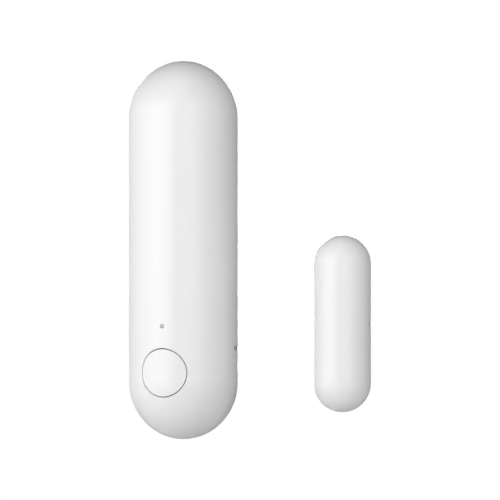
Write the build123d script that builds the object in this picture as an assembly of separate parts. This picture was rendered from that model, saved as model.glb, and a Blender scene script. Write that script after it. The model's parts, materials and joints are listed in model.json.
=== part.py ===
from build123d import *
import math
import os

# Door contact sensor: a pill-shaped sensor and a smaller pill-shaped magnet, both taped to a flat
# surface. Millimetres. X runs from the sensor to the magnet, +Y into the surface, +Z up.
# The origin is the middle of the sensor's adhesive face.

# Sensor envelope
SENSOR_RADIUS = 11.5  # half the pill's width
SENSOR_HEIGHT = 79.8
SENSOR_DEPTH = 21.0  # adhesive face to the front of the pill
SENSOR_WALL = 1.5
SENSOR_END = 12.2  # height of each rounded end, a little more than the radius
SENSOR_AXIS_Y = SENSOR_RADIUS - SENSOR_DEPTH
SENSOR_BALL_Z = SENSOR_HEIGHT / 2 - SENSOR_END  # centre of each rounded end

# Adhesive tape, on both units
TAPE_THICKNESS = 0.8
TAPE_PROUD = 0.5  # how far the tape stands out of its recess
TAPE_MARGIN = 0.15  # gap round the tape in its recess
RECESS_DEPTH = TAPE_THICKNESS - TAPE_PROUD
BACK_Y = -TAPE_PROUD  # the plastic's own back face
SENSOR_TAPE = (12.0, 66.0)

# Wall plate and the rails that the housing slides down onto
PLATE_FRONT_Y = -4.4
PLATE_FLOOR = 1.4
PLATE_WALL = 1.5
RIB_THICKNESS = 1.0
RIB_PITCH = 12
RIB_DROP = 0.4  # how far the cross ribs stop short of the plate's front
SEAM = 0.1  # gap between the plate and what slides over it
SEAM_BEVEL = 0.18
RAIL_X = (5.5, 6.4)  # web of each rail
RAIL_FLANGE_X = 7.3
RAIL_FLANGE_Y = (-5.4, -6.4)
RAIL_GAP = 0.15
RAIL_ROOT = 0.3  # how much wider than the rail the rib under it is, each side
LOWER_RAIL_TOP_Z = -0.5
UPPER_RAIL_Z = (29.3, 32.6)

# Inner chassis
CHASSIS_GAP = 0.2
CHASSIS_HALF_WIDTH = 8.5
CHASSIS_SIDE = 0.9
CHASSIS_WALL = 1.1
CHASSIS_BACK_Y = PLATE_FRONT_Y - SEAM
CHASSIS_SHEET = 0.75
CHASSIS_FRONT_Y = -12.9
CROSS_WALL_Z = (0.0, 1.2)
TOP_WALL_Z = (29.2, 30.6)
TOP_POCKET = (5.0, 35.5)  # half its width, and its top
POLARITY_Z = (-3.4, 33.0)  # the minus and plus signs sunk in the back
POLARITY_SIZE = (2.4, 0.5, 0.3)  # length, thickness and depth of each stroke

# Battery, a half-AA lithium cell
CELL_RADIUS = 7.25
CELL_BOTTOM_Z = 3.2
CELL_TOP_Z = 28.2
CELL_Y = -11.85
CELL_SHOULDER = 0.6
SEAL_RADIUS = 5.4  # the plastic seal's sunk ring, round the positive end
SEAL_DEPTH = 0.25
NUB_RADIUS = 2.6
NUB_TOP_Z = 28.6
SLEEVE_THICKNESS = 0.15
SLEEVE_SETBACK = 0.7  # from each end of the can
SLEEVE_GAP = 0.02
BAY_GAP = 0.2
CONTACT_GAP = 0.03  # between the battery and its contacts, at rest
SPRING_WIRE_RADIUS = 0.25
SPRING_RADII = (5.2, 2.6)
SPRING_TURNS = 3
NEGATIVE_SHEET = 0.2
NEGATIVE_RADIUS = 5.6
NEGATIVE_STRAP_X = (2.6, 4.4)
NEGATIVE_STRAP_Z = -2.0
STRIP_GAUGE = 0.25
STRIP_X = -8.15  # outside of the positive contact's long strip
STRIP_Y = (-13.05, -14.8)
STRIP_FOOT_Z = -3.4

# Circuit board
BOARD_BACK_Y = -13.0
BOARD_FRONT_Y = -14.0
BOARD_HALF_WIDTH = 7.8
BOARD_TOP_Z = -0.6
SCREW_Z = (-9.0, -34.0)
SCREW_RADIUS = 0.8
SCREW_TIP_Y = -17.0
SCREW_HEAD = (1.6, 1.2)  # radius and height
SCREW_SINK = 1.6  # depth of the seat below the chassis's back
BOSS_RADIUS = 2.0
SHIELD_SIZE = (11.0, 13.0)
SHIELD_DEPTH = 1.9
SHIELD_SHEET = 0.2
SHIELD_Z = -20.5

# Push button, indicator and alignment mark, down the sensor's middle line
BUTTON_Z = -25.65
BUTTON_RADIUS = 4.95
BUTTON_GAP = 0.2
BUTTON_LIP = 0.12  # rounding of the cap's edge and of the hole's
BUTTON_FOOT_Y = -17.5
BUTTON_INNER_Y = -19.4
BUTTON_SKIRT = 0.9
BUTTON_STEM = (2.8, 0.9)  # the cross-shaped stem's width and thickness
BUTTON_TAB = (4.8, 0.7, 0.75)  # width, thickness and reach of each retaining tab
COLLAR_END_Y = -18.3
COLLAR_WALL = 1.1
LAMP_Z = -15.9
LAMP_TIP_RADIUS = 0.34
LAMP_HOLE_RADIUS = 0.45
LAMP_PIN_RADIUS = 0.98
LAMP_COLLAR = (1.8, -16.4)  # outer radius, and where it ends
LAMP_SHOULDER_Y = 0.45 - SENSOR_DEPTH + SENSOR_WALL
MARK_Z = -20.65
SENSOR_MARK = (0.8, 0.14)  # width and depth
MAGNET_MARK = (0.6, 0.15)

# Push switch
SWITCH_SIZE = 4.5
SWITCH_TOP_Y = -17.1
SWITCH_COVER = 0.25
SWITCH_RIVET = (1.75, 0.3)  # offset each way from the middle, and radius
PLUNGER_RADIUS = 1.2
PLUNGER_TOP_Y = -18.3
PLUNGER_FOOT_Y = -16.4
PLUNGER_WELL_Y = -15.8
PLUNGER_GAP = 0.08

# Reed switch, on the side that faces the magnet
REED_X = 6.2
REED_Y = BOARD_FRONT_Y - 1.4
REED_Z = MARK_Z
REED_RADIUS = 1.0
REED_LENGTH = 14.0
REED_LEAD_RADIUS = 0.25
REED_SEAL = 1.3  # solid glass at each end
REED_GLASS = 0.25
REED_BLADE = (0.9, 0.16)  # width and thickness
REED_OVERLAP = 0.8  # how far each blade passes the middle
REED_OFFSET = 0.1  # of each blade from the middle, which leaves the contact open

# Magnet unit
MAGNET_X = 34.1
MAGNET_Z = -15.4
MAGNET_RADIUS = 5.95
MAGNET_HEIGHT = 37.0
MAGNET_END = 6.1
MAGNET_DEPTH = 10.8
MAGNET_WALL = 1.2
MAGNET_AXIS_Y = MAGNET_RADIUS - MAGNET_DEPTH
MAGNET_SEAM_Y = -2.3
MAGNET_SEAM = 0.06
MAGNET_TAPE = (6.6, 30.0)
BAR_SIZE = (5.0, 3.0, 25.0)
BAR_BACK_Y = -3.4
CRADLE_WALL = 0.8
CRADLE_FRONT_Y = -5.4
CRADLE_RIBS = (-8.0, 0.0, 8.0)
MAGNET_LIP = (0.1, 0.8, 1.0)  # gap to the housing, inner inset, and height

FAR = 60.0  # beyond any part
ROUND = 4 / 3 * (math.sqrt(2) - 1)  # makes a Bezier curve a quarter of an ellipse
RIM = 0.3  # an edge this near to the outside is on the outer rim
ROOT = 0.1  # how far an added wall runs into what it stands on
STANDING = (Align.CENTER, Align.CENTER, Align.MIN)


def block(low, high):
    """A box from its lowest corner to its highest."""
    size = [b - a for a, b in zip(low, high)]
    return Pos(*low) * Box(*size, align=(Align.MIN,) * 3)


def slab(outline, back, front):
    """An outline drawn in X and Z, as a solid from y = back to y = front."""
    return extrude(Plane.XZ.offset(-back) * outline, amount=back - front)


def rod(x, z, radius, back, front):
    """A round rod along Y."""
    return slab(Pos(x, z) * Circle(radius), back, front)


def upright_slot(width, height):
    """A slot outline that stands on end."""
    return SlotOverall(height, width, rotation=90)


def pill(radius, end, height, centre):
    """A cylinder with rounded ends, standing on end. Its seam is at the back."""
    tip = height / 2
    straight = tip - end
    handle = ROUND * end
    reach = ROUND * radius
    outline = (
        Line((0, -tip), (0, tip))
        + Bezier((0, tip), (reach, tip), (radius, straight + handle), (radius, straight))
        + Line((radius, straight), (radius, -straight))
        + Bezier((radius, -straight), (radius, -straight - handle), (reach, -tip), (0, -tip))
    )
    return Pos(*centre) * revolve(make_face(Plane.YZ * outline), Axis.Z).solid()


def sensor_pill(inset=0.0):
    """The sensor's outer form, or the same form drawn in by an inset."""
    height = SENSOR_HEIGHT - 2 * inset
    return pill(SENSOR_RADIUS - inset, SENSOR_END - inset, height, (0, SENSOR_AXIS_Y, 0))


def magnet_pill(inset=0.0):
    """The magnet unit's outer form, or the same form drawn in by an inset."""
    centre = (MAGNET_X, MAGNET_AXIS_Y, MAGNET_Z)
    return pill(MAGNET_RADIUS - inset, MAGNET_END - inset, MAGNET_HEIGHT - 2 * inset, centre)


def between(back, front):
    """All the space from y = back to y = front."""
    return block((-FAR, front, -FAR), (2 * FAR, back, FAR))


def mirrored(shape):
    """A shape and its mirror image across the sensor's middle plane."""
    return shape + mirror(shape, Plane.YZ)


def mark(centre, radius, size):
    """A shallow round-bottomed groove from the widest point of a pill's right side to its back."""
    width, depth = size
    minor = (width**2 / 4 + depth**2) / (2 * depth)
    ring = Pos(*centre) * Torus(radius - depth + minor, minor)
    x, y, z = centre
    return ring & block((x, y, z - width), (x + 2 * radius, y + 2 * radius, z + width))


def sensor_mark():
    """The sensor's one alignment groove, on the side that faces the magnet."""
    return mark((0, SENSOR_AXIS_Y, MARK_Z), SENSOR_RADIUS, SENSOR_MARK)


def rim_bevel(part, core, y):
    """Bevels the edges in the plane y that lie outside the core, for a seam's shadow line."""
    edges = part.edges().filter_by_position(Axis.Y, y - 0.01, y + 0.01)
    return chamfer([edge for edge in edges if not core.is_inside(edge @ 0.5)], SEAM_BEVEL)


def lip_round(part, radius):
    """Rounds the front edge that runs round the button's axis at this radius."""
    lip = []
    for edge in part.edges():
        points = [edge @ share for share in (0, 0.5, 1)]
        off = [abs(math.hypot(point.X, point.Z - BUTTON_Z) - radius) for point in points]
        if max(off) < 0.02 and all(point.Y < BUTTON_INNER_Y for point in points):
            lip.append(edge)
    return fillet(lip, BUTTON_LIP)


def rail_channel(top):
    """The room in the housing and chassis that the plate's rails pass along, open at the bottom."""
    web = block(
        (RAIL_X[0] - RAIL_GAP, RAIL_FLANGE_Y[1] - RAIL_GAP, -FAR),
        (RAIL_X[1] + RAIL_GAP, PLATE_FRONT_Y + SEAM, top),
    )
    flange = block(
        (RAIL_X[0] - RAIL_GAP, RAIL_FLANGE_Y[1] - RAIL_GAP, -FAR),
        (RAIL_FLANGE_X + RAIL_GAP, RAIL_FLANGE_Y[0] + RAIL_GAP, top),
    )
    return mirrored(web + flange)


def rail(bottom, top):
    """A pair of L-shaped rails on the plate."""
    web = block((RAIL_X[0], RAIL_FLANGE_Y[1], bottom), (RAIL_X[1], PLATE_FRONT_Y, top))
    flange = block(
        (RAIL_X[0], RAIL_FLANGE_Y[1], bottom), (RAIL_FLANGE_X, RAIL_FLANGE_Y[0], top)
    )
    return mirrored(web + flange)


def wall_plate():
    """The back of the pill, ribbed inside, with the tape's recess behind and the rails in front."""
    shell = sensor_pill() & between(BACK_Y, PLATE_FRONT_Y)
    floor_y = BACK_Y - PLATE_FLOOR
    pocket = sensor_pill(PLATE_WALL) & between(floor_y, PLATE_FRONT_Y)
    near, far = RAIL_X[0] - RAIL_ROOT, RAIL_X[1] + RAIL_ROOT
    ribs = mirrored(block((near, PLATE_FRONT_Y, -FAR), (far, floor_y, FAR)))
    for step in range(-2, 4):
        z = (step - 0.5) * RIB_PITCH
        low = (-FAR, PLATE_FRONT_Y + RIB_DROP, z - RIB_THICKNESS / 2)
        ribs += block(low, (FAR, floor_y, z + RIB_THICKNESS / 2))
    plate = shell - (pocket - ribs)
    plate -= tape_recess(SENSOR_TAPE, 0, 0)
    plate = rim_bevel(plate, sensor_pill(RIM), PLATE_FRONT_Y)
    rails = rail(-FAR, LOWER_RAIL_TOP_Z) + rail(*UPPER_RAIL_Z)
    plate += rails & sensor_pill(0.05)
    return plate - sensor_mark()


def tape(size, x, z):
    """Foam tape with rounded ends."""
    return slab(Pos(x, z) * upright_slot(*size), 0, -TAPE_THICKNESS)


def tape_recess(size, x, z):
    """The shallow pocket that a tape sits in."""
    width, height = size
    outline = upright_slot(width + 2 * TAPE_MARGIN, height + 2 * TAPE_MARGIN)
    return slab(Pos(x, z) * outline, BACK_Y, BACK_Y - RECESS_DEPTH)


def front_housing():
    """The pill's hollow front, with the button's collar, the lamp's collar and two screw bosses."""
    outer = sensor_pill()
    housing = outer - sensor_pill(SENSOR_WALL)
    hole_radius = BUTTON_RADIUS + BUTTON_GAP
    added = [
        rod(0, BUTTON_Z, hole_radius + COLLAR_WALL, COLLAR_END_Y, -SENSOR_DEPTH),
        rod(0, LAMP_Z, LAMP_COLLAR[0], LAMP_COLLAR[1], -SENSOR_DEPTH),
    ]
    added += [rod(0, z, BOSS_RADIUS, BOARD_FRONT_Y, -SENSOR_DEPTH) for z in SCREW_Z]
    for feature in added:
        housing += feature & outer
    housing = housing & between(CHASSIS_BACK_Y, -FAR)
    housing = rim_bevel(housing, sensor_pill(RIM), CHASSIS_BACK_Y)
    housing -= rod(0, BUTTON_Z, hole_radius, CHASSIS_BACK_Y, -FAR)
    housing = lip_round(housing, hole_radius)
    housing -= rod(0, LAMP_Z, LAMP_PIN_RADIUS + 0.07, BOARD_FRONT_Y, LAMP_SHOULDER_Y - 0.05)
    housing -= rod(0, LAMP_Z, LAMP_HOLE_RADIUS, BOARD_FRONT_Y, -FAR)
    for z in SCREW_Z:
        housing -= rod(0, z, SCREW_RADIUS + 0.05, BOARD_FRONT_Y, SCREW_TIP_Y - 0.3)
    bottom = block((-FAR, -FAR, -FAR), (FAR, FAR, -SENSOR_BALL_Z))
    housing -= rail_channel(-SENSOR_BALL_Z) & bottom
    return housing - sensor_mark()


def inner_chassis():
    """The frame that carries the board and the battery, closed behind the board."""
    inside = sensor_pill(SENSOR_WALL + CHASSIS_GAP)
    width = CHASSIS_HALF_WIDTH
    chassis = inside & block((-width, CHASSIS_FRONT_Y, -FAR), (width, CHASSIS_BACK_Y, FAR))

    cavity = sensor_pill(SENSOR_WALL + CHASSIS_GAP + CHASSIS_WALL)
    sheet_y = CHASSIS_BACK_Y - CHASSIS_SHEET
    wide = width - CHASSIS_SIDE
    board_room = block((-wide, -FAR, -FAR), (wide, sheet_y, CROSS_WALL_Z[0]))
    half, top = TOP_POCKET
    top_room = block((-half, -FAR, TOP_WALL_Z[1]), (half, sheet_y, top))
    chassis -= cavity & (board_room + top_room)

    bay_radius = CELL_RADIUS + BAY_GAP
    bay_height = TOP_WALL_Z[0] - CROSS_WALL_Z[1]
    bay = Pos(0, CELL_Y, CROSS_WALL_Z[1]) * Cylinder(bay_radius, bay_height, align=STANDING)
    mouth = block((-bay_radius, CELL_Y, CROSS_WALL_Z[1]), (bay_radius, FAR, TOP_WALL_Z[0]))
    chassis -= bay + mouth

    for z in SCREW_Z:
        chassis += rod(0, z, BOSS_RADIUS + 0.2, sheet_y + ROOT, BOARD_BACK_Y)
    chassis -= rail_channel(UPPER_RAIL_Z[1] + RAIL_GAP)
    for z in SCREW_Z:
        chassis -= rod(0, z, SCREW_HEAD[0] + 0.2, CHASSIS_BACK_Y, CHASSIS_BACK_Y - SCREW_SINK)
        chassis -= rod(0, z, SCREW_RADIUS + 0.15, CHASSIS_BACK_Y, BOARD_BACK_Y)
    return chassis - polarity_signs()


def polarity_signs():
    """A minus sign below the battery and a plus sign above it."""
    length, thickness, depth = POLARITY_SIZE
    minus = Rectangle(length, thickness)
    plus = minus + Rectangle(thickness, length)
    low, high = POLARITY_Z
    signs = Pos(0, low) * minus + Pos(0, high) * plus
    return slab(signs, CHASSIS_BACK_Y, CHASSIS_BACK_Y - depth)


def chassis_screws():
    """Two pan-head screws with a cross recess, from behind the chassis into the housing."""
    seat_y = CHASSIS_BACK_Y - SCREW_SINK
    radius, height = SCREW_HEAD
    screws = []
    for z in SCREW_Z:
        head = rod(0, z, radius, seat_y + height, seat_y)
        head = fillet(head.edges().filter_by(GeomType.CIRCLE).group_by(Axis.Y)[-1], 0.35)
        cross = Rectangle(1.9, 0.4) + Rectangle(0.4, 1.9)
        recess = slab(Pos(0, z) * cross, seat_y + 2 * height, seat_y + 0.4 * height)
        shank = rod(0, z, SCREW_RADIUS, seat_y, SCREW_TIP_Y)
        tip = shank.edges().filter_by(GeomType.CIRCLE).group_by(Axis.Y)[0]
        screws.append(head - recess + chamfer(tip, 0.4))
    return Compound(children=screws)


def main_board():
    """The circuit board, with a round lower end and clearance holes for the screws."""
    straight = BOARD_TOP_Z + SENSOR_BALL_Z
    outline = Pos(0, BOARD_TOP_Z - straight / 2) * Rectangle(2 * BOARD_HALF_WIDTH, straight)
    outline += Pos(0, -SENSOR_BALL_Z) * Circle(BOARD_HALF_WIDTH)
    for z in SCREW_Z:
        outline -= Pos(0, z) * Circle(SCREW_RADIUS + 0.2)
    return slab(outline, BOARD_BACK_Y, BOARD_FRONT_Y)


def chip(x, z, width, height, thickness):
    """A component on the board's front."""
    outline = Pos(x, z) * Rectangle(width, height)
    return slab(outline, BOARD_FRONT_Y, BOARD_FRONT_Y - thickness)


def group(places, width, height, thickness):
    """The same component at several places."""
    return Compound(children=[chip(x, z, width, height, thickness) for x, z in places])


def controller_chip():
    """The radio and controller in one package, with a moulded dot at its first pin."""
    body = chip(0, -3.8, 4.6, 4.6, 0.85)
    dot = rod(-1.7, -2.1, 0.3, BOARD_FRONT_Y - 0.75, BOARD_FRONT_Y - 2)
    return body - dot


def board_capacitors():
    """A row beside the controller, and one for each of the lamp, the reed switch and the button."""
    places = [(-4.3, z) for z in (-2.2, -4.0, -5.8)] + [(3.6, -12.4), (3.6, -14.6), (-2.6, -30.6)]
    return group(places, 1.6, 0.8, 0.8)


def board_resistors():
    """A row below the capacitors, one on each side of the lamp and one by the button."""
    places = [(-3.4, z) for z in (-9.0, -10.6, -12.2)] + [(2.6, -30.6)]
    places += [(x, LAMP_Z) for x in (-2.4, 2.4)]
    return group(places, 1.0, 0.5, 0.35)


def timing_crystal():
    can = chip(4.6, -4.2, 1.5, 3.2, 0.8)
    return fillet(can.edges().filter_by(Axis.Y), 0.2)


def chip_antenna():
    return chip(-6.2, -22.5, 2.0, 6.5, 1.1)


def radio_shield():
    """A pressed-metal can on the back of the board."""
    width, height = SHIELD_SIZE
    middle = Pos(0, SHIELD_Z)
    outline = middle * RectangleRounded(width, height, 0.8)
    inner = middle * RectangleRounded(width - 2 * SHIELD_SHEET, height - 2 * SHIELD_SHEET, 0.6)
    can = slab(outline, BOARD_BACK_Y + SHIELD_DEPTH, BOARD_BACK_Y)
    can = fillet(can.faces().sort_by(Axis.Y)[-1].edges(), 0.15)
    can -= slab(inner, BOARD_BACK_Y + SHIELD_DEPTH - SHIELD_SHEET, BOARD_BACK_Y)
    for x in (-width / 3, width / 3):
        can -= rod(x, SHIELD_Z, 0.5, 0, BOARD_BACK_Y)
    return can


def battery_cell():
    """The metal can: a flat negative end and a shouldered positive end."""
    radius = CELL_RADIUS - SLEEVE_THICKNESS - SLEEVE_GAP
    height = CELL_TOP_Z - CELL_BOTTOM_Z
    can = Pos(0, CELL_Y, CELL_BOTTOM_Z) * Cylinder(radius, height, align=STANDING)
    can = fillet(can.edges().filter_by(GeomType.CIRCLE), CELL_SHOULDER)
    foot_z = CELL_TOP_Z - SEAL_DEPTH
    can -= Pos(0, CELL_Y, foot_z) * Cylinder(SEAL_RADIUS, 2 * SEAL_DEPTH, align=STANDING)
    nub = Pos(0, CELL_Y, foot_z) * Cylinder(NUB_RADIUS, NUB_TOP_Z - foot_z, align=STANDING)
    nub = fillet(nub.edges().filter_by(GeomType.CIRCLE).sort_by(Axis.Z)[-1], 0.25)
    return can + nub


def battery_sleeve():
    """Film round the can, between its two shoulders."""
    height = CELL_TOP_Z - CELL_BOTTOM_Z - 2 * SLEEVE_SETBACK
    film = Cylinder(CELL_RADIUS, height, align=STANDING)
    film -= Cylinder(CELL_RADIUS - SLEEVE_THICKNESS, height, align=STANDING)
    return Pos(0, CELL_Y, CELL_BOTTOM_Z + SLEEVE_SETBACK) * film


def positive_contact():
    """A bent strip from the top of the battery, down beside it, to the board."""
    back, front = STRIP_Y
    inside_x = STRIP_X + STRIP_GAUGE
    dimple_radius = 1.5
    plate_low = TOP_WALL_Z[0] - 0.35
    plate_high = plate_low + STRIP_GAUGE
    strip = block((STRIP_X, front, STRIP_FOOT_Z), (inside_x, back, plate_high))
    arm = block((STRIP_X, front, plate_low), (-6.0, back, plate_high))
    plate = block((-6.2, front, plate_low), (3.0, -8.9, plate_high))
    foot = (STRIP_X, BOARD_FRONT_Y - STRIP_GAUGE, STRIP_FOOT_Z)
    tab = block(foot, (-6.2, BOARD_FRONT_Y, STRIP_FOOT_Z + 2.0))
    dimple_z = NUB_TOP_Z + CONTACT_GAP + dimple_radius
    dimple = Pos(0, CELL_Y, dimple_z) * Sphere(dimple_radius)
    dimple &= block((-3, -FAR, NUB_TOP_Z), (3, FAR, plate_high))
    return strip + arm + plate + dimple + tab


def negative_spring():
    """A conical coil under the battery's flat end: half-turns that shrink as they rise."""
    big, small = SPRING_RADII
    low = CROSS_WALL_Z[1] + NEGATIVE_SHEET + CONTACT_GAP + SPRING_WIRE_RADIUS
    high = CELL_BOTTOM_Z - CONTACT_GAP - SPRING_WIRE_RADIUS
    halves = 2 * SPRING_TURNS
    side = 1
    arcs = []
    for half in range(halves):
        here, there = half / halves, (half + 1) / halves
        start = Vector(side * (big + (small - big) * here), 0, low + (high - low) * here)
        end = Vector(-side * (big + (small - big) * there), 0, low + (high - low) * there)
        bulge = Vector(0, side * (end - start).length / 2, 0)
        arcs.append(ThreePointArc(start, (start + end) / 2 + bulge, end))
        side = -side
    path = Wire(arcs)
    section = Plane(path @ 0, z_dir=path % 0) * Circle(SPRING_WIRE_RADIUS)
    return Pos(0, CELL_Y, 0) * sweep(section, path)


def negative_contact():
    """A round plate under the coil, with a strap bent down to the board."""
    sheet = NEGATIVE_SHEET
    low = CROSS_WALL_Z[1]
    plate = Pos(0, CELL_Y, low) * Cylinder(NEGATIVE_RADIUS, sheet, align=STANDING)
    near, far = NEGATIVE_STRAP_X
    foot = (near, BOARD_FRONT_Y - sheet, NEGATIVE_STRAP_Z)
    return plate + block(foot, (far, BOARD_FRONT_Y, low + sheet))


def light_pipe():
    """A clear pin from the indicator to the front of the housing."""
    pin = rod(0, LAMP_Z, LAMP_PIN_RADIUS, BOARD_FRONT_Y - 1.1, LAMP_SHOULDER_Y)
    return pin + (rod(0, LAMP_Z, LAMP_TIP_RADIUS, LAMP_SHOULDER_Y, -FAR) & sensor_pill(0.06))


def status_led():
    """The indicator's light source, with a domed lens."""
    body = chip(0, LAMP_Z, 1.6, 1.2, 0.55)
    lens = Pos(0, BOARD_FRONT_Y - 0.55, LAMP_Z) * Sphere(0.4)
    return body + (lens & between(BOARD_FRONT_Y, -FAR))


def switch_body():
    """The push switch's moulded base, with the well that its plunger moves in."""
    cover_y = SWITCH_TOP_Y + SWITCH_COVER
    outline = Pos(0, BUTTON_Z) * RectangleRounded(SWITCH_SIZE, SWITCH_SIZE, 0.4)
    base = slab(outline, BOARD_FRONT_Y, cover_y)
    for x, z in rivet_places():
        base += rod(x, z, SWITCH_RIVET[1], cover_y, SWITCH_TOP_Y - 0.1)
    return base - rod(0, BUTTON_Z, PLUNGER_RADIUS + PLUNGER_GAP, PLUNGER_WELL_Y, -FAR)


def rivet_places():
    """Where the push switch's four rivets are."""
    offset = SWITCH_RIVET[0]
    return [(x, BUTTON_Z + z) for x in (-offset, offset) for z in (-offset, offset)]


def switch_cover():
    """The metal plate riveted over the push switch."""
    size = SWITCH_SIZE - 0.1
    outline = Pos(0, BUTTON_Z) * RectangleRounded(size, size, 0.35)
    outline -= Pos(0, BUTTON_Z) * Circle(PLUNGER_RADIUS + PLUNGER_GAP)
    for x, z in rivet_places():
        outline -= Pos(x, z) * Circle(SWITCH_RIVET[1] + 0.01)
    return slab(outline, SWITCH_TOP_Y + SWITCH_COVER, SWITCH_TOP_Y)


def switch_terminals():
    """Four legs, one at each corner of the push switch."""
    legs = []
    for side in (-1, 1):
        for z in (-1.4, 1.4):
            near, far = sorted((side * SWITCH_SIZE / 2, side * (SWITCH_SIZE / 2 + 0.9)))
            low = (near, BOARD_FRONT_Y - 0.2, BUTTON_Z + z - 0.35)
            legs.append(block(low, (far, BOARD_FRONT_Y, BUTTON_Z + z + 0.35)))
    return Compound(children=legs)


def switch_plunger():
    """The moving stem of the push switch."""
    stem = rod(0, BUTTON_Z, PLUNGER_RADIUS, PLUNGER_FOOT_Y, PLUNGER_TOP_Y)
    return fillet(stem.edges().filter_by(GeomType.CIRCLE).group_by(Axis.Y)[0], 0.2)


def button_cap():
    """The button: its face is part of the pill's surface, and two tabs keep it in the collar."""
    hollow_radius = BUTTON_RADIUS - BUTTON_SKIRT
    cap = rod(0, BUTTON_Z, BUTTON_RADIUS, BUTTON_FOOT_Y, -FAR) & sensor_pill()
    cap = lip_round(cap, BUTTON_RADIUS)
    cap -= rod(0, BUTTON_Z, hollow_radius, BUTTON_FOOT_Y, BUTTON_INNER_Y)
    width, thickness, reach = BUTTON_TAB
    ring = Circle(BUTTON_RADIUS + reach) - Circle(hollow_radius)
    tabs = Pos(0, BUTTON_Z) * (ring & Rectangle(width, 4 * BUTTON_RADIUS))
    cap += slab(tabs, BUTTON_FOOT_Y, BUTTON_FOOT_Y - thickness)
    wide, thin = BUTTON_STEM
    stem = Pos(0, BUTTON_Z) * (Rectangle(wide, thin) + Rectangle(thin, wide))
    return cap + slab(stem, PLUNGER_TOP_Y - 0.02, BUTTON_INNER_Y - ROOT)


def reed_glass():
    """A sealed glass tube with the leads fused into its rounded ends."""
    centre = (REED_X, REED_Y, REED_Z)
    bore_radius = REED_RADIUS - REED_GLASS
    tube = pill(REED_RADIUS, REED_RADIUS, REED_LENGTH, centre)
    bore = pill(bore_radius, bore_radius, REED_LENGTH - 2 * REED_SEAL, centre)
    lead = Pos(*centre) * Cylinder(REED_LEAD_RADIUS, REED_LENGTH + 1)
    return tube - bore - lead


def reed_leads():
    """Two flattened blades that overlap inside the glass, each with a lead bent to the board."""
    width, thickness = REED_BLADE
    leads = []
    for side in (-1, 1):
        inner = REED_Z + side * (REED_LENGTH / 2 - REED_SEAL - 0.6)
        outer = REED_Z + side * (REED_LENGTH / 2 + 1.6)
        corner = (REED_X, REED_Y, outer)
        foot = (REED_X, BOARD_FRONT_Y, outer)
        path = FilletPolyline((REED_X, REED_Y, inner), corner, foot, radius=0.6)
        section = Plane((REED_X, REED_Y, inner), z_dir=(0, 0, side)) * Circle(REED_LEAD_RADIUS)
        lead = sweep(section, path)
        low, high = sorted((REED_Z - side * REED_OVERLAP, inner + side * ROOT))
        place = Pos(REED_X, REED_Y + side * REED_OFFSET, (low + high) / 2)
        blade = place * Box(width, thickness, high - low)
        leads.append(lead + blade)
    return Compound(children=leads)


def magnet_housing():
    """The magnet unit's hollow front."""
    shell = magnet_pill() - magnet_pill(MAGNET_WALL)
    shell &= between(MAGNET_SEAM_Y - MAGNET_SEAM, -FAR)
    shell = rim_bevel(shell, magnet_pill(RIM), MAGNET_SEAM_Y - MAGNET_SEAM)
    return shell - magnet_marks()


def magnet_marks():
    """The magnet's alignment grooves, one on each side, so that it fits either side of a sensor."""
    centre = (MAGNET_X, MAGNET_AXIS_Y, MAGNET_Z)
    right = mark(centre, MAGNET_RADIUS, MAGNET_MARK)
    return right + mirror(right, Plane.YZ.offset(MAGNET_X))


def magnet_base():
    """The magnet unit's back, with a lip inside the housing and a cradle for the bar."""
    base = magnet_pill() & between(BACK_Y, MAGNET_SEAM_Y)
    base -= tape_recess(MAGNET_TAPE, MAGNET_X, MAGNET_Z)
    base = rim_bevel(base, magnet_pill(RIM), MAGNET_SEAM_Y)
    gap, inset, height = MAGNET_LIP
    lip = magnet_pill(MAGNET_WALL + gap) - magnet_pill(MAGNET_WALL + inset)
    base += lip & between(MAGNET_SEAM_Y, MAGNET_SEAM_Y - height)
    inner = Rectangle(BAR_SIZE[0] + 0.1, BAR_SIZE[2] + 0.1)
    outer = Rectangle(BAR_SIZE[0] + 2 * CRADLE_WALL, BAR_SIZE[2] + 2 * CRADLE_WALL)
    cradle = Pos(MAGNET_X, MAGNET_Z) * (outer - inner)
    base += slab(cradle, MAGNET_SEAM_Y + ROOT, CRADLE_FRONT_Y)
    for z in CRADLE_RIBS:
        rib = Pos(MAGNET_X, MAGNET_Z + z) * Rectangle(BAR_SIZE[0] + 0.2, CRADLE_WALL)
        base += slab(rib, MAGNET_SEAM_Y + ROOT, BAR_BACK_Y)
    return base - magnet_marks()


def bar_magnet():
    """The plated bar that the reed switch senses."""
    width, depth, height = BAR_SIZE
    outline = Pos(MAGNET_X, MAGNET_Z) * Rectangle(width, height)
    bar = slab(outline, BAR_BACK_Y, BAR_BACK_Y - depth)
    return fillet(bar.edges(), 0.3)


PARTS = {
    "wall_plate": wall_plate,
    "sensor_tape": lambda: tape(SENSOR_TAPE, 0, 0),
    "front_housing": front_housing,
    "inner_chassis": inner_chassis,
    "chassis_screws": chassis_screws,
    "main_board": main_board,
    "controller_chip": controller_chip,
    "timing_crystal": timing_crystal,
    "board_capacitors": board_capacitors,
    "board_resistors": board_resistors,
    "chip_antenna": chip_antenna,
    "radio_shield": radio_shield,
    "battery_cell": battery_cell,
    "battery_sleeve": battery_sleeve,
    "positive_contact": positive_contact,
    "negative_contact": negative_contact,
    "negative_spring": negative_spring,
    "status_led": status_led,
    "light_pipe": light_pipe,
    "switch_body": switch_body,
    "switch_cover": switch_cover,
    "switch_terminals": switch_terminals,
    "switch_plunger": switch_plunger,
    "button_cap": button_cap,
    "reed_glass": reed_glass,
    "reed_leads": reed_leads,
    "magnet_housing": magnet_housing,
    "magnet_base": magnet_base,
    "bar_magnet": bar_magnet,
    "magnet_tape": lambda: tape(MAGNET_TAPE, MAGNET_X, MAGNET_Z),
}


def main():
    os.makedirs("parts", exist_ok=True)
    for name, make in PARTS.items():
        export_step(make(), f"parts/{name}.step")


main()
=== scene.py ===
import json
import math
import random

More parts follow.
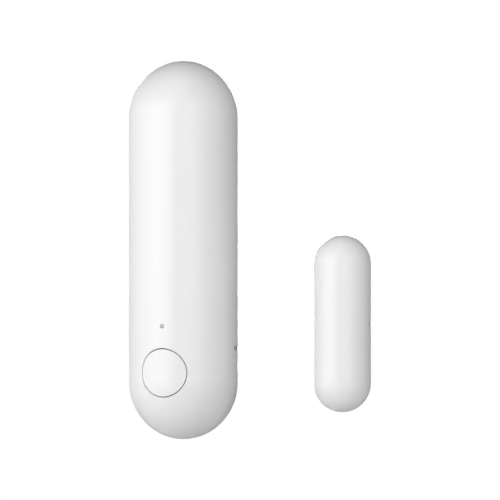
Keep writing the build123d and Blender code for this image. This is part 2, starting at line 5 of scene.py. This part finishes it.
import bmesh
import bpy
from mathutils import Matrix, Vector


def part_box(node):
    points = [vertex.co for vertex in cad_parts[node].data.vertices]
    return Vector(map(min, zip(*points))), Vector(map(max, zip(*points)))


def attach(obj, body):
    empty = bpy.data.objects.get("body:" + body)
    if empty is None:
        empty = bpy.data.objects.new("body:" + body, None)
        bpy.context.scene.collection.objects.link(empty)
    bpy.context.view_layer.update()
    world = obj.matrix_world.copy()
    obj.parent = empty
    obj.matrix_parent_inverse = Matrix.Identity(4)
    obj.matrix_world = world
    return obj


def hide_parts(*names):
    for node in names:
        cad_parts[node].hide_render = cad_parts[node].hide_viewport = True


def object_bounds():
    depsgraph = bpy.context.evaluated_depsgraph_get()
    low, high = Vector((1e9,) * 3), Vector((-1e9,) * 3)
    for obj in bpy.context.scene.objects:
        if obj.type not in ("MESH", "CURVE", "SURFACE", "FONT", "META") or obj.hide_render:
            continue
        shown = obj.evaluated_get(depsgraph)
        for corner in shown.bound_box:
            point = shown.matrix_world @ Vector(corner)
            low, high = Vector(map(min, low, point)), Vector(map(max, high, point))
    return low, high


# A door contact sensor and its magnet unit, in metres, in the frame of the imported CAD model:
# +X from the sensor to the magnet, +Y into the wall, +Z up.

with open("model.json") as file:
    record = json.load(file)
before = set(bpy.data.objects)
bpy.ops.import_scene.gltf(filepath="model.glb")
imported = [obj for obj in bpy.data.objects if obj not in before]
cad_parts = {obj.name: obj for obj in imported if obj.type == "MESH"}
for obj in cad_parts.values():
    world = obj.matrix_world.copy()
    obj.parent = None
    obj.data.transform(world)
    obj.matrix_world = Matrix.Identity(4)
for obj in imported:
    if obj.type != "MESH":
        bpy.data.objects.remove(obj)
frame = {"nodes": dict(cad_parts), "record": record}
cad_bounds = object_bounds()
nodes = frame["nodes"]
MM = 0.001
chance = random.Random(7)

# The view: a long lens, level, turned to show the right side
VIEW_AZIMUTH = math.radians(22.0)
VIEW_WIDTH = 105.6 * MM
LENS = 300.0
SENSOR_WIDTH = 36.0
AIM_ASIDE = 14.03 * MM  # how far right of the sensor's axis the camera aims

# The studio: soft lights about the object, and the floor's distance below it
WORLD_STRENGTH = 0.08
LIGHT_DISTANCE = 600 * MM
LIGHT_SIZE = 500 * MM
FLOOR_DROP = 250 * MM
FLOOR_RADIUS = 2500 * MM
FLOOR_GLOW = 1.7  # keeps the floor pale far out. Its light does not reach the object
NEAR_LIMIT = 50 * MM  # nothing stands closer to the camera than this

# Where a noise's ends are cut: most of its values lie between these
NOISE_LOW = 0.3
NOISE_HIGH = 0.7

# The white plastic: its darkest and lightest tone, the painted shade that darkens the floor of
# its small grooves, and its surface (roughness, grain height in mm, grain scale, how patchy the
# roughness is)
WHITE = (0.892, 0.892, 0.892), (0.898, 0.898, 0.898)
GROOVE_PAINTED_SHADE = (0.48, 0.48, 0.48)
WHITE_SURFACE = 0.3, 0.0008, 5000, 0.01

# The alignment marks: height, half their height, and how far from the unit's axis they start
SENSOR_MARK = -20.65 * MM, 0.42 * MM, 10.6 * MM
MAGNET_MARK = -15.4 * MM, 0.32 * MM, 5.0 * MM

# The pale band printed round the battery's film: its drop from the film's top, and half its width
BAND_DROP = 3.2 * MM
BAND_HALF = 0.9 * MM
BAND_TONE = (0.62, 0.64, 0.66)

# The foam tape: how far its waist and its skins' corners draw in, how uneven its cut edge is,
# and how many points its outline has round each end and down each side
TAPE_WAIST = 0.10 * MM
TAPE_CORNER = 0.02 * MM
TAPE_WAVER = 0.03 * MM
TAPE_TURN_STEPS = 40
TAPE_SIDE_STEPS = 48

# The small parts' tinned ends: their share of the part's length, and how far they stand out
END_SHARE = 0.22
END_SKIN = 0.015 * MM
END_ROUNDING = 3 * END_SKIN

# Solder: how far it spreads, its root under the part, the steps in its curve, and as shares of
# the part its width and how high it climbs. Then the chip's pads: pitch, width and climb
SOLDER_REACH = 0.22 * MM
SOLDER_ROOT = 0.2
SOLDER_STEPS = 4
SOLDER_WIDTH = 0.9
SOLDER_CLIMB = 0.6
PAD_PITCH = 0.5 * MM
PAD_WIDTH = 0.26 * MM
PAD_CLIMB = 0.3


class Nodes:
    """A new material's node tree, with short calls to add and join nodes."""

    def __init__(self, name):
        self.material = bpy.data.materials.new(name)
        self.material.use_nodes = True
        self.tree = self.material.node_tree
        self.shader = self.tree.nodes["Principled BSDF"]
        self.place = self.add("ShaderNodeTexCoord").outputs["Object"]

    def add(self, kind, **settings):
        node = self.tree.nodes.new(kind)
        for key, value in settings.items():
            setattr(node, key, value)
        return node

    def link(self, source, target):
        self.tree.links.new(source, target)

    def shade(self, **values):
        """Sets the shader's own sockets. An underscore in a name stands for a space."""
        for key, value in values.items():
            self.shader.inputs[key.replace("_", " ")].default_value = value

    def noise(self, scale, detail=2.0, roughness=0.5, stretch=None):
        """Noise with features about 1 / scale metres across."""
        texture = self.add("ShaderNodeTexNoise")
        texture.inputs["Scale"].default_value = scale
        texture.inputs["Detail"].default_value = detail
        texture.inputs["Roughness"].default_value = roughness
        self.link(self.stretched(stretch) if stretch else self.place, texture.inputs["Vector"])
        return texture.outputs["Fac"]

    def stretched(self, stretch):
        mapping = self.add("ShaderNodeMapping")
        mapping.inputs["Scale"].default_value = stretch
        self.link(self.place, mapping.inputs["Vector"])
        return mapping.outputs["Vector"]

    def cells(self, scale):
        """Distance to the nearest point of a scatter, for pits and bubbles."""
        texture = self.add("ShaderNodeTexVoronoi")
        texture.inputs["Scale"].default_value = scale
        self.link(self.place, texture.inputs["Vector"])
        return texture.outputs["Distance"]

    def spread(self, source, low, high):
        """Stretches the middle of a noise to run from low to high."""
        ranged = self.add("ShaderNodeMapRange")
        ranged.inputs["From Min"].default_value = NOISE_LOW
        ranged.inputs["From Max"].default_value = NOISE_HIGH
        ranged.inputs["To Min"].default_value = low
        ranged.inputs["To Max"].default_value = high
        self.link(source, ranged.inputs["Value"])
        return ranged.outputs["Result"]

    def tint(self, source, low, high):
        """Turns a noise into a colour between two colours."""
        ramp = self.add("ShaderNodeValToRGB")
        ramp.color_ramp.elements[0].position = NOISE_LOW
        ramp.color_ramp.elements[1].position = NOISE_HIGH
        ramp.color_ramp.elements[0].color = (*low, 1)
        ramp.color_ramp.elements[1].color = (*high, 1)
        self.link(source, ramp.inputs["Fac"])
        return ramp.outputs["Color"]

    def within(self, axis, centre, half):
        """A mask: 1 where a place is within half of the centre along an axis, and 0 elsewhere."""
        split = self.add("ShaderNodeSeparateXYZ")
        self.link(self.place, split.inputs["Vector"])
        check = self.add("ShaderNodeMath", operation="COMPARE")
        check.inputs[1].default_value = centre
        check.inputs[2].default_value = half
        self.link(split.outputs[axis], check.inputs[0])
        return check.outputs["Value"]

    def joined(self, operation, first, second):
        """Two masks made one: MULTIPLY keeps where both are, MAXIMUM where either is."""
        join = self.add("ShaderNodeMath", operation=operation)
        self.link(first, join.inputs[0])
        self.link(second, join.inputs[1])
        return join.outputs["Value"]

    def painted(self, mask, plain, paint):
        """The plain colour with a flat paint over it where the mask is 1."""
        mix = self.add("ShaderNodeMix", data_type="RGBA")
        mix.inputs[7].default_value = (*paint, 1)
        self.link(mask, mix.inputs[0])
        self.link(plain, mix.inputs[6])
        return mix.outputs[2]

    def colour(self, source):
        self.link(source, self.shader.inputs["Base Color"])

    def rough(self, source):
        self.link(source, self.shader.inputs["Roughness"])

    def bump(self, source, height):
        """Relief of a given height in metres."""
        bump = self.add("ShaderNodeBump")
        bump.inputs["Strength"].default_value = 1.0
        bump.inputs["Distance"].default_value = height
        self.link(source, bump.inputs["Height"])
        self.link(bump.outputs["Normal"], self.shader.inputs["Normal"])


def mould_surface(made, roughness, grain, scale, patchy=0.04):
    """Gives a material the gloss of moulded plastic and the fine grain of its mould."""
    made.rough(made.spread(made.noise(420, 3), roughness - patchy, roughness + patchy))
    made.bump(made.noise(scale, 2), grain * MM)
    made.shade(IOR=1.49, Specular_IOR_Level=0.5)


def moulded(name, low, high, *surface):
    """Moulded plastic of an even colour."""
    made = Nodes(name)
    made.colour(made.tint(made.noise(260, 4), low, high))
    mould_surface(made, *surface)
    return made.material


def metal(name, low, high, roughness, stretch=(1, 1, 1), scale=2500, relief=0.002):
    """Plated or rolled metal, with faint lines along the stretched direction."""
    made = Nodes(name)
    made.shade(Metallic=1.0)
    made.colour(made.tint(made.noise(500, 3), low, high))
    lines = made.noise(scale, 3, 0.6, stretch)
    made.rough(made.spread(lines, roughness - 0.08, roughness + 0.1))
    made.bump(lines, relief * MM)
    return made.material


def groove_shade_mask(made, unit, mark, both_sides):
    """1 on the alignment mark at a unit's right side or both sides, behind its widest point:
    where the grooves' shade is painted into the colour.
    """
    height, half_height, start = mark
    low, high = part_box(unit)
    radius = (high.x - low.x) / 2
    half_reach = (radius - start) / 2
    level = made.within("Z", height, half_height)
    behind = made.within("Y", 0, -low.y - radius)
    sides = made.within("X", high.x - half_reach, half_reach + MM)
    if both_sides:
        left = made.within("X", low.x + half_reach, half_reach)
        sides = made.joined("MAXIMUM", sides, left)
    return made.joined("MULTIPLY", made.joined("MULTIPLY", level, behind), sides)


def shell_white():
    """The shells: smooth white, with shade painted into the colour of the alignment marks'
    grooves.
    """
    made = Nodes("shell_white")
    sensor = groove_shade_mask(made, "front_housing", SENSOR_MARK, both_sides=False)
    magnet = groove_shade_mask(made, "magnet_housing", MAGNET_MARK, both_sides=True)
    plain = made.tint(made.noise(260, 4), *WHITE)
    # Painted shade: the grooves of the alignment marks are coloured darker grey where shade falls
    # in them
    made.colour(made.painted(made.joined("MAXIMUM", sensor, magnet), plain, GROOVE_PAINTED_SHADE))
    mould_surface(made, *WHITE_SURFACE)
    return made.material


def button_white():
    return moulded("button_white", *WHITE, *WHITE_SURFACE)


def chassis_grey():
    return moulded("chassis_grey", (0.26, 0.27, 0.285), (0.30, 0.31, 0.325), 0.5, 0.008, 4500)


def foam_tape():
    """Closed-cell foam: small bubbles cut open, with a dusty, uneven colour."""
    made = Nodes("foam_tape")
    made.colour(made.tint(made.noise(1800, 5), (0.64, 0.64, 0.62), (0.76, 0.76, 0.74)))
    made.bump(made.cells(4200), 0.05 * MM)
    made.shade(Roughness=0.85, Specular_IOR_Level=0.25)
    return made.material


def tape_adhesive():
    """The tape's sticky face: a thin clear skin over the foam, finely wrinkled."""
    made = Nodes("tape_adhesive")
    made.colour(made.tint(made.noise(1400, 4), (0.70, 0.70, 0.68), (0.80, 0.80, 0.78)))
    made.rough(made.spread(made.noise(2200, 3), 0.3, 0.48))
    made.bump(made.noise(1600, 4, 0.6, (1, 1, 0.4)), 0.03 * MM)
    made.shade(Coat_Weight=0.25, Coat_Roughness=0.3)
    return made.material


def solder():
    """Tin solder: bright, with a slightly frosted, flowed surface."""
    made = Nodes("solder")
    made.shade(Metallic=1.0)
    made.colour(made.tint(made.noise(2500, 3), (0.60, 0.61, 0.62), (0.74, 0.74, 0.74)))
    made.rough(made.spread(made.noise(3500, 3), 0.2, 0.4))
    made.bump(made.noise(4000, 2), 0.006 * MM)
    return made.material


def clear_plastic():
    """A frosted clear pin: it passes a little light, and its end face looks pale grey."""
    made = Nodes("clear_plastic")
    made.colour(made.tint(made.noise(1500, 3), (0.74, 0.75, 0.76), (0.82, 0.83, 0.84)))
    made.rough(made.spread(made.noise(3000, 2), 0.24, 0.36))
    made.shade(Transmission_Weight=0.35, IOR=1.58)
    return made.material


def board_green():
    """Solder mask, with long copper tracks that show through it as paler, raised strips."""
    made = Nodes("board_green")
    brick = made.add("ShaderNodeTexBrick")
    brick.offset = 0.37
    brick.inputs["Scale"].default_value = 700
    brick.inputs["Mortar Size"].default_value = 0.07
    brick.inputs["Brick Width"].default_value = 2.9
    brick.inputs["Row Height"].default_value = 0.36
    brick.inputs["Color1"].default_value = (0.014, 0.120, 0.046, 1)
    brick.inputs["Color2"].default_value = (0.010, 0.088, 0.034, 1)
    brick.inputs["Mortar"].default_value = (0.010, 0.084, 0.032, 1)
    turned = made.add("ShaderNodeMapping")
    turned.inputs["Rotation"].default_value = (math.radians(90), 0, 0)
    made.link(made.place, turned.inputs["Vector"])
    made.link(turned.outputs["Vector"], brick.inputs["Vector"])
    made.colour(brick.outputs["Color"])
    made.rough(made.spread(made.noise(900, 3), 0.22, 0.36))
    made.bump(brick.outputs["Fac"], 0.02 * MM)
    made.shade(Coat_Weight=0.4, Coat_Roughness=0.2)
    return made.material


def chip_black():
    return moulded("chip_black", (0.018, 0.018, 0.020), (0.032, 0.032, 0.034), 0.55, 0.01, 9000)


def capacitor_tan():
    return moulded("capacitor_tan", (0.26, 0.17, 0.09), (0.36, 0.25, 0.14), 0.45, 0.01, 7000)


def resistor_black():
    return moulded("resistor_black", (0.02, 0.02, 0.024), (0.05, 0.05, 0.055), 0.4, 0.006, 8000)


def antenna_ceramic():
    return moulded("antenna_ceramic", (0.66, 0.68, 0.65), (0.76, 0.77, 0.74), 0.35, 0.006, 6000)


def switch_black():
    return moulded("switch_black", (0.016, 0.016, 0.016), (0.03, 0.03, 0.03), 0.5, 0.01, 8000)


def plunger_black():
    return moulded("plunger_black", (0.03, 0.03, 0.03), (0.045, 0.045, 0.045), 0.42, 0.008, 8000)


def led_white():
    return moulded("led_white", (0.78, 0.77, 0.66), (0.86, 0.85, 0.76), 0.25, 0.002, 5000)


def screw_steel():
    return metal("screw_steel", (0.52, 0.53, 0.55), (0.64, 0.64, 0.65), 0.34)


def crystal_can():
    return metal("crystal_can", (0.62, 0.62, 0.61), (0.70, 0.70, 0.69), 0.3, (1, 1, 0.1))


def shield_tin():
    return metal("shield_tin", (0.58, 0.58, 0.56), (0.70, 0.70, 0.68), 0.38, (1, 1, 0.08))


def cell_steel():
    return metal("cell_steel", (0.56, 0.56, 0.55), (0.66, 0.66, 0.65), 0.28, (1, 1, 0.1))


def contact_nickel():
    return metal("contact_nickel", (0.64, 0.61, 0.54), (0.74, 0.71, 0.64), 0.25, (0.2, 1, 1))


def magnet_nickel():
    return metal("magnet_nickel", (0.66, 0.65, 0.62), (0.74, 0.73, 0.70), 0.14)


def cell_sleeve():
    """Heat-shrunk film: glossy, faintly rippled, with a pale band near the cell's raised end."""
    made = Nodes("cell_sleeve")
    film = made.tint(made.noise(300, 3), (0.035, 0.085, 0.23), (0.045, 0.105, 0.27))
    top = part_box("battery_sleeve")[1].z
    band = made.within("Z", top - BAND_DROP, BAND_HALF)
    made.colour(made.painted(band, film, BAND_TONE))
    made.rough(made.spread(made.noise(700, 2), 0.2, 0.32))
    made.bump(made.noise(500, 2, 0.5, (1, 1, 3)), 0.02 * MM)
    made.shade(Coat_Weight=0.3, Coat_Roughness=0.15)
    return made.material


def reed_glass():
    """Thin clear glass, slightly wavy from drawing."""
    made = Nodes("reed_glass")
    made.colour(made.tint(made.noise(600, 2), (0.86, 0.93, 0.89), (0.92, 0.97, 0.94)))
    made.rough(made.spread(made.noise(900, 2), 0.02, 0.06))
    made.bump(made.noise(900, 2), 0.004 * MM)
    made.shade(Transmission_Weight=1.0, IOR=1.5)
    return made.material


MATERIALS = {
    "shell_white": shell_white,
    "button_white": button_white,
    "chassis_grey": chassis_grey,
    "foam_tape": foam_tape,
    "clear_plastic": clear_plastic,
    "screw_steel": screw_steel,
    "board_green": board_green,
    "chip_black": chip_black,
    "crystal_can": crystal_can,
    "capacitor_tan": capacitor_tan,
    "resistor_black": resistor_black,
    "antenna_ceramic": antenna_ceramic,
    "shield_tin": shield_tin,
    "cell_steel": cell_steel,
    "cell_sleeve": cell_sleeve,
    "contact_nickel": contact_nickel,
    "led_white": led_white,
    "switch_black": switch_black,
    "plunger_black": plunger_black,
    "reed_glass": reed_glass,
    "magnet_nickel": magnet_nickel,
}


def dress_frame():
    """Gives every CAD node its slot's finished material, and returns the materials."""
    made = {name: make() for name, make in MATERIALS.items()}
    for part in frame["record"]["subparts"]:
        node = nodes[part["node"]]
        for slot in node.material_slots:
            slot.material = made[part["material_slot"]]
    return made


def add_piece(name, shape, materials):
    """Turns a finished shape into a shown piece. Its faces already name their material."""
    bmesh.ops.recalc_face_normals(shape, faces=shape.faces)
    mesh = bpy.data.meshes.new(name)
    shape.to_mesh(mesh)
    shape.free()
    for material in materials:
        mesh.materials.append(material)
    piece = bpy.data.objects.new(name, mesh)
    bpy.context.scene.collection.objects.link(piece)
    return piece


def pill_outline(width, height, inset, waver):
    """Points round a pill shape, drawn in by inset, each moved in or out by up to waver."""
    radius = width / 2
    straight = height / 2 - radius
    points = []
    for side in (1, -1):
        for step in range(TAPE_TURN_STEPS):
            angle = math.pi * step / TAPE_TURN_STEPS
            reach = radius - inset + chance.uniform(-waver, waver)
            along = straight + reach * math.sin(angle)
            points.append((side * reach * math.cos(angle), side * along))
        for step in range(TAPE_SIDE_STEPS):
            along = straight - 2 * straight * step / TAPE_SIDE_STEPS
            reach = radius - inset + chance.uniform(-waver, waver)
            points.append((-side * reach, side * along))
    return points


def foam_pad(name, node, body, materials):
    """A pill of double-sided foam tape: two sticky skins, and a waist cut a little ragged."""
    low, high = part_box(node)
    middle = (low + high) / 2
    width, depth, height = high - low
    # The share of the way through the tape, how far the edge draws in there, and its waver
    levels = (
        (0.0, TAPE_CORNER, 0),
        (0.08, 0, 0),
        (0.2, 0.6 * TAPE_WAIST, TAPE_WAVER),
        (0.35, TAPE_WAIST, TAPE_WAVER),
        (0.5, TAPE_WAIST, TAPE_WAVER),
        (0.65, TAPE_WAIST, TAPE_WAVER),
        (0.8, 0.6 * TAPE_WAIST, TAPE_WAVER),
        (0.92, 0, 0),
        (1.0, TAPE_CORNER, 0),
    )
    shape = bmesh.new()
    rings = []
    for through, inset, waver in levels:
        y = low.y + depth * through
        outline = pill_outline(width, height, inset, waver)
        rings.append([shape.verts.new((middle.x + x, y, middle.z + z)) for x, z in outline])
    count = len(rings[0])
    for near, far in zip(rings, rings[1:]):
        for here in range(count):
            after = (here + 1) % count
            face = shape.faces.new((near[here], near[after], far[after], far[here]))
            face.smooth = True
    for ring in (rings[0], rings[-1]):
        shape.faces.new(ring).material_index = 1
    piece = add_piece(name, shape, materials)
    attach(piece, body)
    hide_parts(node)


def solid_boxes(name):
    """The (lowest, highest) corners of each separate solid in a CAD node, in order."""
    shape = bmesh.new()
    shape.from_mesh(nodes[name].data)
    shape.transform(nodes[name].matrix_world)
    bmesh.ops.remove_doubles(shape, verts=shape.verts, dist=0.001 * MM)
    left = set(shape.verts)
    boxes = []
    while left:
        waiting = [left.pop()]
        places = []
        while waiting:
            corner = waiting.pop()
            places.append(corner.co.copy())
            for edge in corner.link_edges:
                other = edge.other_vert(corner)
                if other in left:
                    left.remove(other)
                    waiting.append(other)
        low = Vector([min(place[axis] for place in places) for axis in range(3)])
        high = Vector([max(place[axis] for place in places) for axis in range(3)])
        boxes.append((low, high))
    shape.free()
    return sorted(boxes, key=lambda box: tuple(round(value, 6) for value in box[0]))


def add_rounded_box(shape, low, high, rounding):
    """A box between two corners, with its edges rounded."""
    made = bmesh.ops.create_cube(shape, size=1)["verts"]
    for corner in made:
        corner.co = Vector([(a + b) / 2 + c * (b - a) for a, b, c in zip(low, high, corner.co)])
    kept = set(made)
    edges = [edge for edge in shape.edges if edge.verts[0] in kept]
    bmesh.ops.bevel(shape, geom=edges, offset=rounding, segments=2, profile=0.5, affect="EDGES")


def add_solder(shape, foot, out, reach, rise, width):
    """Solder at a part's foot: a hollow curve from the board up to the part's end."""
    up = Vector((0, -1, 0))
    across = up.cross(out)
    profile = [(-SOLDER_ROOT * reach, 0)]
    for step in range(SOLDER_STEPS + 1):
        angle = math.radians(90) * step / SOLDER_STEPS
        profile.append((reach * (1 - math.sin(angle)), rise * (1 - math.cos(angle))))
    profile.append((-SOLDER_ROOT * reach, rise))
    rings = []
    for side in (-0.5, 0.5):
        edge = foot + across * width * side
        rings.append([shape.verts.new(edge + out * x + up * y) for x, y in profile])
    near, far = rings
    count = len(profile)
    for here in range(count):
        after = (here + 1) % count
        shape.faces.new((near[here], near[after], far[after], far[here]))
    for ring in rings:
        shape.faces.new(ring)


def foot_of(low, high, axis, side):
    """The middle of a part's edge on the board, at one end, and the direction out of it."""
    foot = (low + high) / 2
    foot.y = high.y
    foot[axis] = (high if side > 0 else low)[axis]
    out = Vector((0, 0, 0))
    out[axis] = side
    return foot, out


def tin_ends(ends, joints, low, high):
    """One small part's two tinned ends, and the solder at them."""
    size = high - low
    axis = 0 if size.x > size.z else 2
    skin = Vector((END_SKIN,) * 3)
    for side in (-1, 1):
        end_low = low - skin
        end_high = high + skin
        if side < 0:
            end_high[axis] = low[axis] + END_SHARE * size[axis]
        else:
            end_low[axis] = high[axis] - END_SHARE * size[axis]
        add_rounded_box(ends, end_low, end_high, END_ROUNDING)
        foot, out = foot_of(low, high, axis, side)
        width = SOLDER_WIDTH * size[2 - axis]
        add_solder(joints, foot, out, SOLDER_REACH, SOLDER_CLIMB * size.y, width)


def solder_chip(joints, low, high):
    """A row of solder at evenly spaced pads on each of the chip's four sides."""
    climb = PAD_CLIMB * (high.y - low.y)
    for axis in (0, 2):
        other = 2 - axis
        count = int((high[other] - low[other]) / PAD_PITCH) - 1
        for side in (-1, 1):
            for pad in range(count):
                foot, out = foot_of(low, high, axis, side)
                foot[other] += (pad - (count - 1) / 2) * PAD_PITCH
                add_solder(joints, foot, out, SOLDER_REACH, climb, PAD_WIDTH)


def solder_board_parts(metal_end, tin):
    """Tinned ends on the small parts, and the solder that holds them and the chip."""
    ends = bmesh.new()
    joints = bmesh.new()
    for name in ("board_capacitors", "board_resistors", "chip_antenna"):
        for low, high in solid_boxes(name):
            tin_ends(ends, joints, low, high)
    solder_chip(joints, *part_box("controller_chip"))
    for name, shape, material in (("part_ends", ends, metal_end), ("solder_joints", joints, tin)):
        piece = add_piece(name, shape, [material])
        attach(piece, "housing")


def place_camera():
    """Aims a long level lens at the middle of the two units."""
    low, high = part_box("front_housing")
    axis = Vector(((low.x + high.x) / 2, low.y + (high.x - low.x) / 2, (low.z + high.z) / 2))
    aside = Vector((math.cos(VIEW_AZIMUTH), math.sin(VIEW_AZIMUTH), 0))
    towards = Vector((math.sin(VIEW_AZIMUTH), -math.cos(VIEW_AZIMUTH), 0))
    data = bpy.data.cameras.new("camera")
    data.lens = LENS
    data.sensor_width = SENSOR_WIDTH
    data.clip_start = NEAR_LIMIT
    camera = bpy.data.objects.new("camera", data)
    bpy.context.scene.collection.objects.link(camera)
    distance = VIEW_WIDTH * LENS / SENSOR_WIDTH
    camera.location = axis + AIM_ASIDE * aside + distance * towards
    camera.rotation_euler = (math.radians(90), 0, VIEW_AZIMUTH)
    bpy.context.scene.camera = camera


def soft_light(name, azimuth, elevation, power, size=LIGHT_SIZE):
    """A square soft light that faces the object, placed by its direction from the front."""
    data = bpy.data.lights.new(name, "AREA")
    data.shape = "SQUARE"
    data.size = size
    data.energy = power
    light = bpy.data.objects.new(name, data)
    turn, rise = math.radians(azimuth), math.radians(elevation)
    towards = Vector(
        (math.sin(turn) * math.cos(rise), -math.cos(turn) * math.cos(rise), math.sin(rise))
    )
    centre = Vector([(a + b) / 2 for a, b in zip(*cad_bounds)])
    light.location = centre + LIGHT_DISTANCE * towards
    light.rotation_euler = towards.to_track_quat("Z", "Y").to_euler()
    bpy.context.scene.collection.objects.link(light)


def light_studio():
    """A dim white surround, a main light at the front left and weaker ones all round."""
    world = bpy.data.worlds.new("studio")
    world.use_nodes = True
    tree = world.node_tree
    background = tree.nodes["Background"]
    background.inputs["Color"].default_value = (1, 1, 1, 1)
    background.inputs["Strength"].default_value = WORLD_STRENGTH
    seen = tree.nodes.new("ShaderNodeBackground")
    seen.inputs["Color"].default_value = (1, 1, 1, 1)
    seen.inputs["Strength"].default_value = 1.0
    path = tree.nodes.new("ShaderNodeLightPath")
    mix = tree.nodes.new("ShaderNodeMixShader")
    tree.links.new(path.outputs["Is Camera Ray"], mix.inputs["Fac"])
    tree.links.new(background.outputs["Background"], mix.inputs[1])
    tree.links.new(seen.outputs["Background"], mix.inputs[2])
    tree.links.new(mix.outputs["Shader"], tree.nodes["World Output"].inputs["Surface"])
    bpy.context.scene.world = world
    soft_light("key", -25, 10, 1.95)
    soft_light("left_fill", -66, 2, 1.0)
    soft_light("left_side", -115, 5, 0.42)
    soft_light("right_fill", 43, 10, 1.4)
    soft_light("right_side", 90, 15, 0.66)
    soft_light("overhead", 0, 65, 0.62)
    soft_light("behind", 202, 4, 1.5, 200 * MM)


def add_disc(name, drop, low, high, glow=0.0):
    """A wide round sheet below the object, plain but for a faint change of tone."""
    mesh = bpy.data.meshes.new(name)
    shape = bmesh.new()
    bmesh.ops.create_circle(shape, cap_ends=True, segments=96, radius=FLOOR_RADIUS)
    shape.to_mesh(mesh)
    shape.free()
    disc = bpy.data.objects.new(name, mesh)
    disc.location.z = cad_bounds[0][2] - drop
    made = Nodes(name)
    tone = made.tint(made.noise(40, 3), low, high)
    made.colour(tone)
    made.link(tone, made.shader.inputs["Emission Color"])
    made.shade(Roughness=0.7, Emission_Strength=glow)
    mesh.materials.append(made.material)
    bpy.context.scene.collection.objects.link(disc)
    return disc


def lay_floor():
    """A pale floor, and under it the grey card whose bounced light reaches the object."""
    pale = (0.304, 0.304, 0.304), (0.308, 0.308, 0.308)
    floor = add_disc("floor", FLOOR_DROP, *pale, FLOOR_GLOW)
    floor.visible_diffuse = False
    floor.visible_glossy = False
    floor.visible_shadow = False
    grey = (0.62, 0.62, 0.62), (0.66, 0.66, 0.66)
    add_disc("bounce_card", FLOOR_DROP + MM, *grey)


bpy.context.view_layer.update()
place_camera()
finishes = dress_frame()
tape_finishes = [finishes["foam_tape"], tape_adhesive()]
foam_pad("sensor_foam_tape", "sensor_tape", "wall", tape_finishes)
foam_pad("magnet_foam_tape", "magnet_tape", "magnet", tape_finishes)
solder_board_parts(finishes["contact_nickel"], solder())
light_studio()
lay_floor()
bpy.context.scene.view_settings.view_transform = "Standard"
